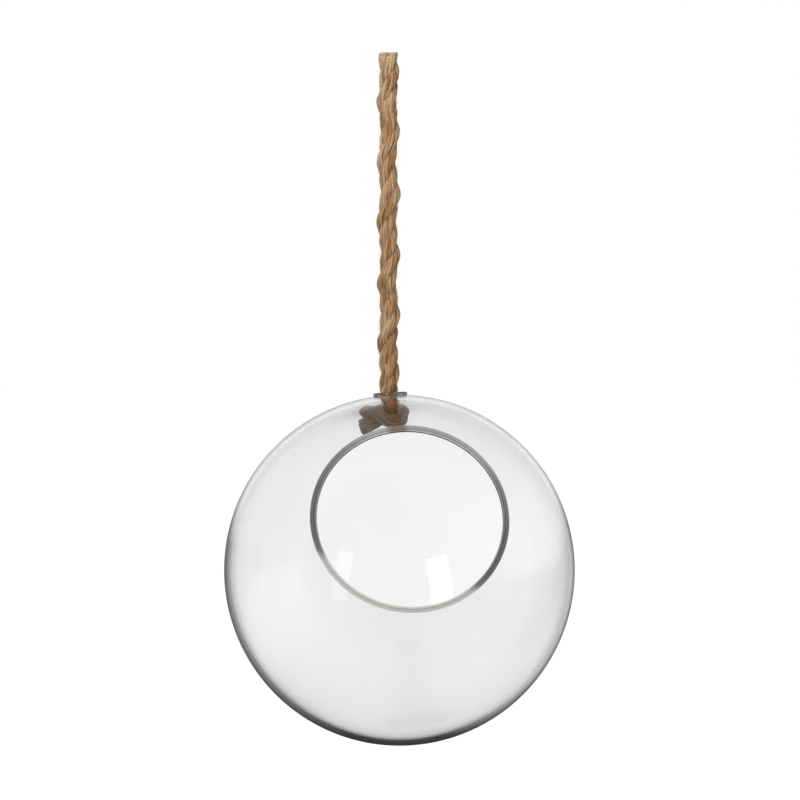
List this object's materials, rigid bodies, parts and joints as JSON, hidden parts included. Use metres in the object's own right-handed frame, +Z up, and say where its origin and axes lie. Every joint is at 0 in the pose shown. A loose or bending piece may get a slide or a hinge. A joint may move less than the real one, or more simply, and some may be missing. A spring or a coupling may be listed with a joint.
{
  "type": "hanging glass vase",
  "caption": "Clear blown-glass globe with a large round mouth in its side, hung on a thick jute rope that is knotted inside a hole in its top; holds water, cuttings or a plant.",
  "frame": {"origin": "middle of the rope's cut top end, where the vase is tied up", "axes": "+Z up along the rope, -Y out of the front where the mouth faces, +X to the right of the mouth seen from the front"},
  "size_m": [0.25, 0.2495, 0.4922],
  "materials": {
    "clear_glass": "clear blown glass with a ground and polished rim",
    "jute_rope": "natural three-strand jute, hairy and matt"
  },
  "bodies": {
    "tied_end": {"rope_tied_end": "jute_rope"},
    "upper_rope": {"rope_upper": "jute_rope"},
    "lower_rope": {"rope_lower": "jute_rope"},
    "neck": {"rope_neck": "jute_rope"},
    "globe": {"stopper_knot": "jute_rope", "glass_globe": "clear_glass"}
  },
  "joints": [
    {"name": "swing_fore_aft", "type": "hinge", "parent": "tied_end", "child": "upper_rope", "pos_m": [0, 0, -0.0424], "axis": [1, 0, 0], "range_deg": [-30, 30]},
    {"name": "swing_sideways", "type": "hinge", "parent": "upper_rope", "child": "lower_rope", "pos_m": [0, 0, -0.118], "axis": [0, 1, 0], "range_deg": [-30, 30]},
    {"name": "rope_twist", "type": "hinge", "parent": "lower_rope", "child": "neck", "pos_m": [0, 0, -0.185], "axis": [0, 0, 1], "range_deg": [-180, 180]},
    {"name": "globe_tilt", "type": "hinge", "parent": "neck", "child": "globe", "pos_m": [0, 0, -0.241], "axis": [1, 0, 0], "range_deg": [-20, 20]}
  ]
}
